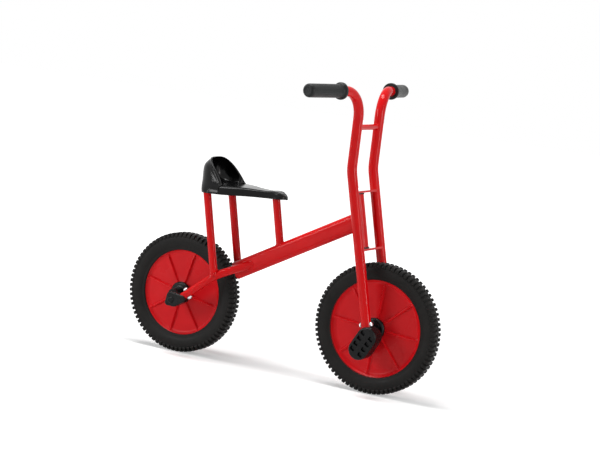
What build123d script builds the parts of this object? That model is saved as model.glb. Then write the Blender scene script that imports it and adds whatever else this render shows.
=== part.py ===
"""Child's runner bicycle: red tube frame, disc wheels, moulded seat.

Layout frame used below: X forward, Y to the left, Z up, millimetres, with the
rear tyre's contact point at (0, 0, 0).  At export everything moves so that the
origin lies on the seat, where the child sits.
"""
import os
from math import atan2, cos, degrees, hypot, radians, sin, sqrt, tan

from build123d import *

# ---- wheels
REAR_WHEEL_R = 155.0        # to the tips of the tread
FRONT_WHEEL_R = 163.0
REAR_RIM_R = 113.0
FRONT_RIM_R = 122.0
WHEELBASE = 550.0
TYRE_HALF_W = 22.0
TREAD_DEPTH = 3.0
RIM_LIP_HALF_W = 14.0       # the rim's outer edge, from the wheel's middle plane
RIM_LIP_DROP = 8.0          # the lip stands this far outside the disc's edge
WEB_T = 4.0                 # disc thickness
WEB_EDGE_Y = 5.0            # disc face at the rim, from the middle plane
WEB_HUB_Y = 11.0            # disc face at the hub
RIB_COUNT = 8
RIB_T = 4.0
RIB_H = 5.0
HUB_R = 19.0
HUB_HALF_W = 22.0
HUB_CAP_R = 28.0
HUB_CAP_T = 4.0             # cap face beyond the hub's end
BEAD_FIT = 0.1              # tyre on rim

# ---- axles
AXLE_R = 6.0
AXLE_RUN = 0.06             # radial running fit in the hub
AXLE_COVER = 3.0            # of block or foot rest, over each axle end
SIDE_PLAY = 0.5             # between hub cap and the boss beside it

# ---- fork, from the axle upwards
RAKE = 13.7                 # degrees from vertical, top to the rear
FORK_OFFSET = 22.0          # legs ahead of the steering axis
FORK_HALF_SPAN = 62.5       # leg centre lines
FORK_TUBE_D = 25.0
FORK_WALL = 2.0
LEG_FOOT = 7.5              # leg ends this far above the axle
LEG_LENGTH = 393.0          # axle to the bend, along the rake
LEG_BEND_R = 110.0
RISER_HEIGHT = 192.0        # bend to the handlebar line, straight up
BAR_BEND_R = 63.0
BAR_HALF_W = 274.0          # to the end of the tube
BAR_SWEEP = 10.2            # degrees back
BAR_DROP = 1.0              # degrees down towards the end
GRIP_L = 138.0
GRIP_D = 33.0
GRIP_FLANGE_D = 42.0
GRIP_FLANGE_T = 9.0
GRIP_END_T = 5.0
CROSSBAR_D = 14.0
CROSSBAR_UP = 104.0         # above the leg bend

# ---- steering head
PLATE_LOW = 195.5           # along the rake, above the axle
PLATE_HIGH = 337.5
PLATE_T = 5.0
PLATE_BOSS_R = 19.0
HEAD_TUBE_D = 35.0
HEAD_WALL = 3.0
BUSH_FLANGE_T = 3.0
BUSH_FLANGE_R = 19.0
HEAD_END_PLAY = 0.3         # between bush flange and fork plate
PIVOT_R = 6.0
PIVOT_RUN = 0.06
PIVOT_HEAD_R = 10.0
PIVOT_HEAD_T = 8.0

# ---- frame
BEAM_H = 42.0
BEAM_W = 25.0
BEAM_WALL = 2.0
BEAM_TYRE_GAP = 8.0
REAR_HALF_SPAN = 65.0       # stays and rear posts
STAY_D = 20.0
STAY_WALL = 2.0
STAY_START = 30.0           # stay end, ahead of the axle
STAY_END_DROP = 4.0         # and below it
STAY_KNEE_X = 120.0
STAY_KNEE_UP = 70.0         # knee above the axle
STAY_KNEE_R = 60.0
STAY_NOSE = 217.0           # nose on the beam, from the rear axle
POST_D = 20.0
POST_WALL = 2.0
POST_LEAN = 12.8            # degrees, top to the rear
REAR_POST_FOOT_X = 116.0
FRONT_POST_FOOT_X = 262.0
WELD_GAP = 0.1

# ---- seat
SEAT_TOP_Z = 453.0
SEAT_WALL = 5.0
SEAT_RIM_X = 105.0          # feet of the back's rim
SEAT_BASE_Z = 427.0         # skirt's edge under the back
SEAT_BASE_RISE = 10.0       # its rise to the nose
SEAT_SOCKET_WALL = 4.0
SEAT_BACK = (               # height, reach behind the rim's feet, half width, corner radius
    (425.0, 65.0, 81.0, 50.0),
    (439.0, 71.0, 79.0, 50.0),
    (453.0, 76.0, 67.5, 44.0),
    (478.0, 79.0, 63.5, 42.0),
    (500.0, 75.0, 56.0, 38.0),
    (511.0, 65.0, 44.0, 30.0),
    (516.0, 54.0, 27.0, 18.0),
)
SEAT_TONGUE = (             # x ahead of the rim's feet, half width, side rounding
    (0.0, 80.0, 18.0),
    (45.0, 57.0, 16.0),
    (90.0, 33.0, 10.0),
    (157.0, 22.0, 9.0),
)
RIM_TOP_BACK = 54.0         # rim's top, behind its feet
RIM_TOP_UP = 63.0           # and above the seat
RIM_BOW = 4.0               # forward bow of the rim's side view

# ---- axle blocks and foot rests
BOSS_R = 13.0
BLOCK_HALF_T = 12.0
BLOCK_R = 15.0
BLOCK_HANG = 13.0           # lower corner, below the axle
BLOCK_TOE_X = 37.0          # front end of the block
BLOCK_TOE_R = 9.0
BLOCK_CAP_R = 8.0
PLUG_FIT = 0.1
PLUG_L = 28.0
REST_L = 88.0
REST_W = 51.0
REST_T = 22.0
REST_TILT = 61.6            # long axis from horizontal, top forward
REST_DROP = 30.0            # centre below the axle
REST_POCKET_D = 4.0
REST_POCKET_L = 8.0
REST_POCKET_W = 11.0
REST_POCKET_PITCH = 16.0
REST_POCKET_SIDE = 13.0     # column, beside the rest's long middle line
REST_EDGE_R = 3.0
BOLT_R = 3.0
BOLT_HEAD_R = 7.0
BOLT_HEAD_T = 6.0
BOLT_FIT = 0.1
STAY_BOLT_AT = 22.0         # from the stay's end
LEG_BOLT_AT = 7.5           # from the leg's end
RIDER_X = 150.0             # where the child sits

REAR_AXLE = Vector(0, 0, REAR_WHEEL_R)
FRONT_AXLE = Vector(WHEELBASE, 0, FRONT_WHEEL_R)
AXIS = Vector(-sin(radians(RAKE)), 0, cos(radians(RAKE)))       # steering axis, up
AHEAD = Vector(cos(radians(RAKE)), 0, sin(radians(RAKE)))       # square to it, forward
STEER_FOOT = FRONT_AXLE - AHEAD * FORK_OFFSET
HEAD_MID = STEER_FOOT + AXIS * ((PLATE_LOW + PLATE_HIGH) / 2)
BEAM_DIR = (HEAD_MID - REAR_AXLE).normalized()

nodes = {}


def wheel_turn(profile, centre):
    """Turn a profile drawn in radius and side offset about the wheel's axle."""
    return Pos(centre.X, 0, centre.Z) * revolve(Plane.XY * profile, Axis.Y)


def ring(radius_in, radius_out, y0, y1, centre):
    """A plain ring about the wheel axis, between two side offsets."""
    outline = Polygon((radius_in, y0), (radius_out, y0), (radius_out, y1), (radius_in, y1), align=None)
    return wheel_turn(outline, centre)


def rod(start, end, radius):
    """A round bar from one point to another."""
    way = end - start
    return Plane(start, z_dir=way) * extrude(Circle(radius), way.length)


def swept(points, radii, diameter, wall=0.0):
    """A round tube along straight runs joined by arcs; solid when wall is 0."""
    path = FilletPolyline(*points, radius=radii) if len(points) > 2 else Line(*points)
    section = Circle(diameter / 2)
    if wall:
        section -= Circle(diameter / 2 - wall)
    return sweep(Plane(path @ 0, z_dir=path % 0) * section, path=path)


def both_sides(name, shape):
    """Store a right-hand piece and its mirror image."""
    nodes[name + "_right"] = shape
    nodes[name + "_left"] = mirror(shape, Plane.XZ)


# ---------------------------------------------------------------- wheels
def build_wheel(prefix, centre, wheel_r, rim_r):
    seat_r = rim_r - RIM_LIP_DROP
    half = (
        (HUB_R, HUB_HALF_W),
        (HUB_R, WEB_HUB_Y),
        (seat_r, WEB_EDGE_Y),
        (rim_r - 2.5, RIM_LIP_HALF_W),
        (rim_r, RIM_LIP_HALF_W),
        (rim_r, RIM_LIP_HALF_W - 3),
        (rim_r - 3, WEB_EDGE_Y + 1),
    )
    bore = AXLE_R + AXLE_RUN
    upper = [(bore, HUB_HALF_W)] + list(half)
    outline = upper + [(r, -y) for r, y in reversed(upper)]
    rim = wheel_turn(Polygon(*outline, align=None), centre)
    fin = Polygon(
        (HUB_R - 2, WEB_HUB_Y - 3),
        (HUB_CAP_R + 4, WEB_HUB_Y + RIB_H - 1),
        (seat_r - 14, WEB_EDGE_Y + RIB_H + 1),
        (seat_r - 1, WEB_EDGE_Y + 1),
        (seat_r - 1, WEB_EDGE_Y - 2),
        align=None,
    )
    blade = extrude(Plane.XY * fin, RIB_T / 2, both=True)
    for k in range(RIB_COUNT):
        turn = 360.0 / RIB_COUNT * k
        place = Pos(centre.X, 0, centre.Z) * Rot(0, turn, 0)
        rim += place * blade
        rim += place * mirror(blade, Plane.XZ)
    nodes[prefix + "_rim"] = rim

    tread_r = wheel_r - TREAD_DEPTH
    bead = rim_r + BEAD_FIT
    side = (
        (bead, RIM_LIP_HALF_W - 3),
        (bead, RIM_LIP_HALF_W - 0.5),
        (bead + 4, RIM_LIP_HALF_W + 2),
        ((bead + tread_r) / 2, TYRE_HALF_W - 1),
        (tread_r - 8, TYRE_HALF_W),
        (tread_r, TYRE_HALF_W - 4),
        (wheel_r, TYRE_HALF_W - 8),
    )
    inner = ((rim_r - 3 + BEAD_FIT * 1.5, WEB_EDGE_Y + 1), )
    outline = list(inner) + list(side)
    outline = outline + [(r, -y) for r, y in reversed(outline)]
    nodes[prefix + "_tyre"] = wheel_turn(Polygon(*outline, align=None), centre)

    cap_in = AXLE_R + 1.0
    cap = Polygon(
        (HUB_R + PLUG_FIT, WEB_HUB_Y + RIB_H + 0.3),
        (HUB_CAP_R, WEB_HUB_Y + RIB_H + 0.3),
        (HUB_CAP_R, HUB_HALF_W - 1),
        (HUB_CAP_R - 5, HUB_HALF_W + HUB_CAP_T),
        (cap_in, HUB_HALF_W + HUB_CAP_T),
        (cap_in, HUB_HALF_W + PLUG_FIT),
        (HUB_R + PLUG_FIT, HUB_HALF_W + PLUG_FIT),
        align=None,
    )
    both_sides(prefix + "_hub_cap", wheel_turn(mirror(cap, Plane.XZ), centre))



def cross_rod(centre, radius, half_length):
    """A round bar across the bicycle, through a wheel's centre."""
    return Pos(centre.X, 0, centre.Z) * Rot(90, 0, 0) * Cylinder(radius, 2 * half_length)


build_wheel("rear", REAR_AXLE, REAR_WHEEL_R, REAR_RIM_R)
build_wheel("front", FRONT_AXLE, FRONT_WHEEL_R, FRONT_RIM_R)

# ---------------------------------------------------------------- fork and handlebar
bend = FRONT_AXLE + AXIS * LEG_LENGTH
side = Vector(0, -FORK_HALF_SPAN, 0)
foot = FRONT_AXLE + AXIS * LEG_FOOT + side
knee = bend + side
corner = knee + Vector(0, 0, RISER_HEIGHT)
reach = BAR_HALF_W - FORK_HALF_SPAN
bar_end = corner + Vector(-reach * tan(radians(BAR_SWEEP)), -reach, -reach * tan(radians(BAR_DROP)))
fork_points = [foot, knee, corner, bar_end]
fork_radii = [LEG_BEND_R, BAR_BEND_R]
fork_tube = swept(fork_points, fork_radii, FORK_TUBE_D, FORK_WALL)
fork_hull = swept(fork_points, fork_radii, FORK_TUBE_D + 2 * WELD_GAP)
fork_hulls = [fork_hull, mirror(fork_hull, Plane.XZ)]

bar_way = (bar_end - corner).normalized()
grip_bore = FORK_TUBE_D / 2 + PLUG_FIT
grip_start = GRIP_END_T - GRIP_L        # from the tube's end, along the bar
grip_profile = Polygon(
    (grip_bore, grip_start),
    (GRIP_FLANGE_D / 2 - 1.5, grip_start),
    (GRIP_FLANGE_D / 2, grip_start + 2),
    (GRIP_FLANGE_D / 2, grip_start + GRIP_FLANGE_T - 2),
    (GRIP_FLANGE_D / 2 - 1.5, grip_start + GRIP_FLANGE_T),
    (GRIP_D / 2, grip_start + GRIP_FLANGE_T + 2),
    (GRIP_D / 2, GRIP_END_T - 6),
    (GRIP_D / 2 - 2, GRIP_END_T - 2),
    (GRIP_D / 2 - 6, GRIP_END_T),
    (0, GRIP_END_T),
    (0, PLUG_FIT),
    (grip_bore, PLUG_FIT),
    align=None,
)
grip = revolve(Plane.XZ * grip_profile, Axis.Z)
both_sides("grip", Plane(bar_end, z_dir=bar_way) * grip)

bar_height = bend.Z + CROSSBAR_UP
bar_mid = Vector(bend.X, 0, bar_height)
crossbar = Pos(*bar_mid) * Rot(90, 0, 0) * Cylinder(CROSSBAR_D / 2, 2 * FORK_HALF_SPAN)
for hull in fork_hulls:
    crossbar -= hull
nodes["crossbar"] = crossbar


# ---------------------------------------------------------------- steering head
def head_plane(along):
    """Plane square to the steering axis, X ahead, Y to the left."""
    return Plane(STEER_FOOT + AXIS * along, x_dir=AHEAD, z_dir=AXIS)


def build_plate(along):
    leg_x, leg_y, boss = FORK_OFFSET, FORK_HALF_SPAN, PLATE_BOSS_R
    plate = make_hull(
        (Circle(boss) + Pos(leg_x, leg_y) * Circle(9) + Pos(leg_x, -leg_y) * Circle(9)).edges()
    )
    plate -= Circle(PIVOT_R + PLUG_FIT)
    shape = head_plane(along) * extrude(plate, PLATE_T / 2, both=True)
    for hull in fork_hulls:
        shape -= hull
    return shape


nodes["fork_plate_low"] = build_plate(PLATE_LOW)
nodes["fork_plate_high"] = build_plate(PLATE_HIGH)

head_lo = PLATE_LOW + PLATE_T / 2 + HEAD_END_PLAY + BUSH_FLANGE_T
head_hi = PLATE_HIGH - PLATE_T / 2 - HEAD_END_PLAY - BUSH_FLANGE_T
head_ring = Circle(HEAD_TUBE_D / 2) - Circle(HEAD_TUBE_D / 2 - HEAD_WALL)
nodes["head_tube"] = head_plane(head_lo) * extrude(head_ring, head_hi - head_lo)
head_hull = head_plane(head_lo) * extrude(Circle(HEAD_TUBE_D / 2 + WELD_GAP), head_hi - head_lo)

bush_r = HEAD_TUBE_D / 2 - HEAD_WALL - PLUG_FIT
bush_bore = PIVOT_R + PIVOT_RUN
bush = extrude(Circle(BUSH_FLANGE_R) - Circle(bush_bore), BUSH_FLANGE_T)
bush += Pos(0, 0, -20) * extrude(Circle(bush_r) - Circle(bush_bore), 20)
nodes["head_bush_high"] = head_plane(head_hi) * bush
nodes["head_bush_low"] = head_plane(head_lo) * Rot(180, 0, 0) * bush

pin_lo = PLATE_LOW - PLATE_T / 2
pin_hi = PLATE_HIGH + PLATE_T / 2
pivot = head_plane(pin_lo) * extrude(Circle(PIVOT_R), pin_hi - pin_lo)
pivot += head_plane(pin_hi) * extrude(RegularPolygon(PIVOT_HEAD_R, 6), PIVOT_HEAD_T)
pivot += head_plane(pin_lo - PIVOT_HEAD_T) * extrude(RegularPolygon(PIVOT_HEAD_R, 6), PIVOT_HEAD_T)
nodes["steering_bolt"] = pivot

# ---------------------------------------------------------------- frame
beam_start = REAR_AXLE + BEAM_DIR * (REAR_WHEEL_R + BEAM_TYRE_GAP)
beam_length = (HEAD_MID - beam_start).length
beam_plane = Plane(beam_start, x_dir=(0, 1, 0), z_dir=BEAM_DIR)
beam_outer = SlotOverall(BEAM_H, BEAM_W, rotation=90)
beam_inner = SlotOverall(BEAM_H - 2 * BEAM_WALL, BEAM_W - 2 * BEAM_WALL, rotation=90)
beam = beam_plane * extrude(beam_outer, beam_length)
beam -= beam_plane * Pos(0, 0, BEAM_WALL) * extrude(beam_inner, beam_length)
beam -= head_hull
beam -= head_plane(head_lo) * extrude(Circle(HEAD_TUBE_D / 2), head_hi - head_lo)
nodes["main_beam"] = beam.solids().sort_by(SortBy.VOLUME)[-1]
beam_hull = beam_plane * extrude(
    SlotOverall(BEAM_H + 2 * WELD_GAP, BEAM_W + 2 * WELD_GAP, rotation=90), beam_length
)

stay_y = -REAR_HALF_SPAN
stay_end = REAR_AXLE + Vector(STAY_START, stay_y, -STAY_END_DROP)
stay_knee = REAR_AXLE + Vector(STAY_KNEE_X, stay_y, STAY_KNEE_UP)
stay_nose = REAR_AXLE + BEAM_DIR * STAY_NOSE + Vector(0, -4, 0)
stay_points = [stay_end, stay_knee, stay_nose]
stay = swept(stay_points, [STAY_KNEE_R], STAY_D, STAY_WALL) - beam_hull
both_sides("stay", stay.solids().sort_by(SortBy.VOLUME)[-1])
stay_hull = swept(stay_points, [STAY_KNEE_R], STAY_D + 2 * WELD_GAP)
stay_way = (stay_knee - stay_end).normalized()

post_way = Vector(-sin(radians(POST_LEAN)), 0, cos(radians(POST_LEAN)))
post_top_z = SEAT_BASE_Z + SEAT_BASE_RISE


def post_line(foot_x, foot_z, y):
    """Ends of a post's centre line: in its foot's joint and inside the seat."""
    start = Vector(foot_x, y, foot_z)
    return start, start + post_way * ((post_top_z - foot_z) / cos(radians(POST_LEAN)))


stay_slope = (STAY_KNEE_UP + STAY_END_DROP) / (STAY_KNEE_X - STAY_START)
rear_foot_z = stay_end.Z + (REAR_POST_FOOT_X - STAY_START) * stay_slope
rear_post = post_line(REAR_POST_FOOT_X, rear_foot_z, stay_y)
front_foot_z = REAR_WHEEL_R + FRONT_POST_FOOT_X * BEAM_DIR.Z / BEAM_DIR.X
front_post = post_line(FRONT_POST_FOOT_X, front_foot_z, 0)


def post_tube(line, cutter):
    tube = rod(*line, POST_D / 2) - rod(*line, POST_D / 2 - POST_WALL) - cutter
    return tube.solids().sort_by(Axis.Z)[-1]


both_sides("seat_post_rear", post_tube(rear_post, stay_hull))
nodes["seat_post_front"] = post_tube(front_post, beam_hull)

# ---------------------------------------------------------------- seat
rim_foot = Vector(SEAT_RIM_X, 0, SEAT_TOP_Z)
seat_under = SEAT_TOP_Z - SEAT_WALL
nose_x = SEAT_RIM_X + SEAT_TONGUE[-1][0]


def back_body(inset):
    """Closed body of the seat's back, drawn in by an inset: rounded plans, one above the other."""
    plans = []
    for z, back, half, corner in SEAT_BACK:
        x, w = SEAT_RIM_X - back + inset, half - inset
        plan = Polygon((SEAT_RIM_X, -w), (x, -w), (x, w), (SEAT_RIM_X, w), align=None)
        plan = fillet(plan.vertices().group_by(Axis.X)[0], corner - inset)
        plans.append(Pos(0, 0, z - inset) * plan)
    return loft([plan.faces()[0] for plan in plans], ruled=True)


def tongue_body(inset, low, top):
    """Closed body of the seat's tongue: crowned sections along it, with a rounded nose in plan."""
    cuts = []
    for dx, half, rounding in SEAT_TONGUE:
        w, edge = half - inset, half - rounding
        right = ((0, low), (-w, low), (-w + 2, top - 10), (-edge, top - 2.5))
        outline = Polyline(*right) + ThreePointArc((-edge, top - 2.5), (0, top), (edge, top - 2.5))
        outline += Polyline(*[(-y, z) for y, z in reversed(right)])
        cuts.append(Plane((SEAT_RIM_X + dx, 0, 0), x_dir=(0, 1, 0), z_dir=(1, 0, 0)) * make_face(outline))
    body = loft([cut.faces()[0] for cut in cuts], ruled=True)
    nose_r = SEAT_TONGUE[-1][1] - inset
    nose_end = Box(4 * nose_r, 4 * nose_r, 400) - Cylinder(nose_r, 400) - Pos(-2 * nose_r, 0, 0) * Box(4 * nose_r, 4 * nose_r, 400)
    return body - Pos(nose_x - nose_r - inset, 0, SEAT_TOP_Z) * nose_end


slope_run = nose_x - (SEAT_RIM_X - SEAT_BACK[0][1])
base_face = Polygon((-200, SEAT_BASE_Z), (nose_x - slope_run, SEAT_BASE_Z), (nose_x, SEAT_BASE_Z + SEAT_BASE_RISE),
                    (nose_x + 100, SEAT_BASE_Z + SEAT_BASE_RISE), (nose_x + 100, 300), (-200, 300), align=None)
below_seat = extrude(Plane.XZ * base_face, 200, both=True)
rim_top = rim_foot + Vector(-RIM_TOP_BACK, 0, RIM_TOP_UP)
rim_out = (rim_top - rim_foot).normalized()
rim_mid = (rim_foot + rim_top) * 0.5 + Vector(rim_out.Z, 0, -rim_out.X) * RIM_BOW
rim_curve = ThreePointArc((rim_foot.X, rim_foot.Z), (rim_mid.X, rim_mid.Z), (rim_top.X, rim_top.Z))
rim_lines = Polyline((rim_top.X, rim_top.Z), (rim_top.X - 10, rim_top.Z + 40), (nose_x, rim_top.Z + 40),
                     (nose_x, rim_foot.Z), (rim_foot.X, rim_foot.Z))
before_rim = extrude(Plane.XZ * make_face(rim_curve + rim_lines), 200, both=True)
low = SEAT_BASE_Z - 2
seat_hull = (back_body(0) - before_rim) + tongue_body(0, low, SEAT_TOP_Z)
hollow_h = seat_under - low + 20
pan_cut = Pos(SEAT_RIM_X, 0, seat_under - hollow_h / 2) * Box(600, 400, hollow_h)
under = (back_body(SEAT_WALL) + tongue_body(SEAT_WALL, low - 5, seat_under)) & pan_cut
bowl = back_body(SEAT_WALL + 1) - Pos(SEAT_RIM_X, 0, low) * Box(600, 400, 2 * (SEAT_TOP_Z - 2 - low))
seat = seat_hull - below_seat - under - bowl

post_lines = (front_post, rear_post, [Vector(p.X, -p.Y, p.Z) for p in rear_post])
for start, end in post_lines:
    boss = rod(end - post_way * 20, end + post_way * (seat_under - post_top_z + 6), POST_D / 2 + SEAT_SOCKET_WALL)
    seat += (boss & seat_hull) - below_seat
for start, end in post_lines:
    seat -= rod(start, end + post_way * 0.5, POST_D / 2 + PLUG_FIT)
nodes["seat_shell"] = seat

# ---------------------------------------------------------------- rear axle blocks
boss_in = HUB_HALF_W + HUB_CAP_T + SIDE_PLAY


def axle_boss(centre, y_out):
    """Round boss about the axle, from beside the hub cap outwards."""
    return Pos(centre.X, -(boss_in + y_out) / 2, centre.Z) * Rot(90, 0, 0) * Cylinder(BOSS_R, y_out - boss_in)


def cross_bolt(mid, way, tube_d):
    """Bolt through a tube: head on one side, nut on the other."""
    r = tube_d / 2 + WELD_GAP
    bolt = rod(mid - way * r, mid + way * r, BOLT_R)
    for end in (way, way * -1):
        bolt += Plane(mid + end * r, z_dir=end) * extrude(RegularPolygon(BOLT_HEAD_R, 6), BOLT_HEAD_T)
    return bolt


def bolt_hole(mid, way, tube_d):
    return rod(mid - way * tube_d, mid + way * tube_d, BOLT_R + BOLT_FIT)


block_out = REAR_HALF_SPAN + BLOCK_HALF_T
side_plane = Plane((0, -REAR_HALF_SPAN, REAR_WHEEL_R), x_dir=(1, 0, 0), z_dir=(0, -1, 0))
toe = Pos(BLOCK_TOE_X, -STAY_END_DROP) * Circle(BLOCK_TOE_R)
heel = Pos(BLOCK_HANG / 2, -BLOCK_HANG) * Circle(BLOCK_R)
pad = make_hull((Circle(BLOCK_R - 1) + heel + toe).edges())
block = axle_boss(REAR_AXLE, block_out) + side_plane * extrude(pad, BLOCK_HALF_T, both=True)
cap_at = Vector(BLOCK_HANG / 2, -block_out, REAR_WHEEL_R - BLOCK_HANG)
block += Plane(cap_at, z_dir=(0, -1, 0)) * extrude(Circle(BLOCK_CAP_R), 4, taper=25)
block -= swept(stay_points, [STAY_KNEE_R], STAY_D + 2 * PLUG_FIT)
plug_r = STAY_D / 2 - STAY_WALL - PLUG_FIT
block += rod(stay_end - stay_way * 8, stay_end + stay_way * PLUG_L, plug_r)
rear_axle_half = block_out - AXLE_COVER
nodes["rear_axle"] = cross_rod(REAR_AXLE, AXLE_R, rear_axle_half)
block -= cross_rod(REAR_AXLE, AXLE_R + PLUG_FIT, rear_axle_half + PLUG_FIT)

bolt_up = Vector(-stay_way.Z, 0, stay_way.X)
stay_bolt_mid = stay_end + stay_way * STAY_BOLT_AT
stay_hole = bolt_hole(stay_bolt_mid, bolt_up, STAY_D)
block -= stay_hole
both_sides("rear_axle_block", block)
both_sides("stay", nodes["stay_right"] - stay_hole)
both_sides("stay_bolt", cross_bolt(stay_bolt_mid, bolt_up, STAY_D))

# ---------------------------------------------------------------- foot rests on the fork's ends
rest_out = FORK_HALF_SPAN + REST_T
rest_plane = Plane(
    (FRONT_AXLE.X, -FORK_HALF_SPAN, FRONT_AXLE.Z - REST_DROP), x_dir=(1, 0, 0), z_dir=(0, -1, 0)
)
rest = extrude(SlotOverall(REST_L, REST_W), REST_T, both=True)
rest = fillet(rest.edges().group_by(Axis.Z)[-1], REST_EDGE_R)
for k in (-1.5, -0.5, 0.5, 1.5):
    for way in (-1, 1):
        pocket = Box(REST_POCKET_L, REST_POCKET_W, 2 * REST_POCKET_D)
        rest -= Pos(k * REST_POCKET_PITCH, way * REST_POCKET_SIDE, REST_T) * pocket
rest = rest_plane * Rot(0, 0, REST_TILT) * rest
rest += axle_boss(FRONT_AXLE, FORK_HALF_SPAN)
leg_bolt_mid = foot + AXIS * LEG_BOLT_AT
rest -= rod(foot, knee, FORK_TUBE_D / 2 + PLUG_FIT)
head_reach = FORK_TUBE_D / 2 + BOLT_HEAD_T + 2
rest -= rod(leg_bolt_mid - AHEAD * head_reach, leg_bolt_mid + AHEAD * head_reach, BOLT_HEAD_R + 0.5)
leg_plug_r = FORK_TUBE_D / 2 - FORK_WALL - PLUG_FIT
rest += rod(foot - AXIS * 10, foot + AXIS * PLUG_L, leg_plug_r)
front_axle_half = rest_out - REST_POCKET_D - AXLE_COVER
nodes["front_axle"] = cross_rod(FRONT_AXLE, AXLE_R, front_axle_half)
rest -= cross_rod(FRONT_AXLE, AXLE_R + PLUG_FIT, front_axle_half + PLUG_FIT)
leg_hole = bolt_hole(leg_bolt_mid, AHEAD, FORK_TUBE_D)
both_sides("fork_tube", fork_tube - leg_hole)
both_sides("foot_rest", rest - leg_hole)
both_sides("fork_bolt", cross_bolt(leg_bolt_mid, AHEAD, FORK_TUBE_D))

# ---------------------------------------------------------------- export
os.makedirs("parts", exist_ok=True)
to_seat = Pos(-RIDER_X, 0, -SEAT_TOP_Z)
for name, shape in nodes.items():
    export_step(to_seat * shape, f"parts/{name}.step")
    print(f"{name:24s} {shape.volume / 1000:9.2f} cm3")
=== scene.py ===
# %% [markdown]
# # A child's runner bicycle, dressed for its picture
#
# A runner bicycle is a small steel frame on two wheels with no pedals. The rider sits on
# the moulded seat, pushes off with both feet and rests them on two pads at the front axle.
# Its exact sizes come from a packed engineering model. This lesson loads that model as a
# fixed frame and gives it what such a model leaves out: tread lugs, softly ribbed wheel
# discs, a moulded seat, weld beads, and paint, rubber and plastic that look like themselves.

# %% Load the frame and note its box
import math

import bpy
import numpy as np
from mathutils import Matrix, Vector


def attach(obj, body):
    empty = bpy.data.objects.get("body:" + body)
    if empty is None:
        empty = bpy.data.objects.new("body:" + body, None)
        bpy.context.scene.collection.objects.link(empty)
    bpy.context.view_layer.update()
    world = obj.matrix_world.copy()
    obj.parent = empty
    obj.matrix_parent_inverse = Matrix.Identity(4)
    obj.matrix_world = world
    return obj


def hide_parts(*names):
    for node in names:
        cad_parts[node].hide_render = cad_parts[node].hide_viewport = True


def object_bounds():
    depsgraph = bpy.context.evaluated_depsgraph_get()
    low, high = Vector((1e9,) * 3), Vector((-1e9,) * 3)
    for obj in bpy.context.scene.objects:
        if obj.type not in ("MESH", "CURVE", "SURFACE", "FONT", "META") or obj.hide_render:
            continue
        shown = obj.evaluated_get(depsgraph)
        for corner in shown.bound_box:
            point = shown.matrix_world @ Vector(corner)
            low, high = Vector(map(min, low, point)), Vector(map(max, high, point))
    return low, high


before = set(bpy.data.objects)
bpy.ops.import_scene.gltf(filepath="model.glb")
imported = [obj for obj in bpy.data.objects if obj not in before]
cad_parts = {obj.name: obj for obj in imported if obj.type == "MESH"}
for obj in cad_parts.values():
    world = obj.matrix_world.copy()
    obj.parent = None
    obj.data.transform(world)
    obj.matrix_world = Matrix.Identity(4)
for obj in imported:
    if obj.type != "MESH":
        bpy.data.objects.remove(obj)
cad_box = [[float(c) for c in corner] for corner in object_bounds()]
print("the engineering model spans", np.round(np.subtract(cad_box[1], cad_box[0]), 3), "m")

# %% [markdown]
# ## The camera
#
# A long lens from low down keeps the two wheels nearly the same size and shows the seat from
# just above its edge. The lens and the three directions of the camera were worked out
# beforehand from the wheels' ellipses, so they are plain numbers here. The camera leans a few
# degrees, so that the line of the wheels runs downhill to the right.

# %% Camera
SENSOR = 36.0
LENS = 117.9
camera_data = bpy.data.cameras.new("picture_camera")
camera_data.sensor_width = SENSOR
camera_data.lens = LENS
camera_data.clip_end = 60.0
camera = bpy.data.objects.new("picture_camera", camera_data)
bpy.context.scene.collection.objects.link(camera)
across = np.array([0.8871, 0.4454, 0.1209])
upward = np.array([-0.1630, 0.0573, 0.9850])
across /= np.linalg.norm(across)
upward -= across * (across @ upward)
upward /= np.linalg.norm(upward)
turn = np.eye(4)
turn[:3, 0], turn[:3, 1], turn[:3, 2] = across, upward, np.cross(across, upward)
turn[:3, 3] = (2.2769, -4.3883, 0.5337)
camera.matrix_world = Matrix(turn.tolist())
bpy.context.scene.camera = camera
print("the camera stands", round(float(np.linalg.norm(turn[:3, 3])), 2), "m from the seat")

# %% [markdown]
# ## Floor, backdrop and light
#
# The picture is a plain studio shot: a white ground that fades into a white backdrop, one
# large soft light overhead, one from the left, a narrow strip beside it and a tall box on
# the right, whose reflections run down the tubes. The floor is a pale matt sheet. What the
# camera sees of it, directly or mirrored in the object, also glows: a little near the
# wheels and fully far away. That fades it to white and leaves the soft shadows. The lamps
# stay at a plain level, so a colour looks as it is written.
#
# The floor, the backdrop and every finish are small networks of shader nodes. Wiring them
# takes a line for each node, value and link, so one helper makes a node and fills its
# sockets at once, with plain values or with the outputs of earlier nodes.

# %% A node and its inputs in one call
def add(tree, kind, operation=None, **sockets):
    """A new node; each named input is set to a value or linked to another node's output.

    Base_Color stands for the socket Base Color, and _0 for the first socket.
    """
    node = tree.nodes.new("ShaderNode" + kind)
    if operation:
        node.operation = operation
    for label, value in sockets.items():
        socket = node.inputs[int(label[1:])] if label[0] == "_" else node.inputs[label.replace("_", " ")]
        if isinstance(value, bpy.types.NodeSocket):
            tree.links.new(value, socket)
        else:
            socket.default_value = value
    return node


def seen_by_camera(tree):
    """1 for rays from the camera, also by way of gloss or glass, and 0 for light on the object."""
    ray = add(tree, "LightPath").outputs
    mirrored_too = add(tree, "Math", "MAXIMUM", _0=ray["Is Camera Ray"], _1=ray["Is Glossy Ray"])
    through_too = add(tree, "Math", "MAXIMUM", _0=mirrored_too.outputs[0], _1=ray["Is Transmission Ray"])
    return through_too.outputs[0]


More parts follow.
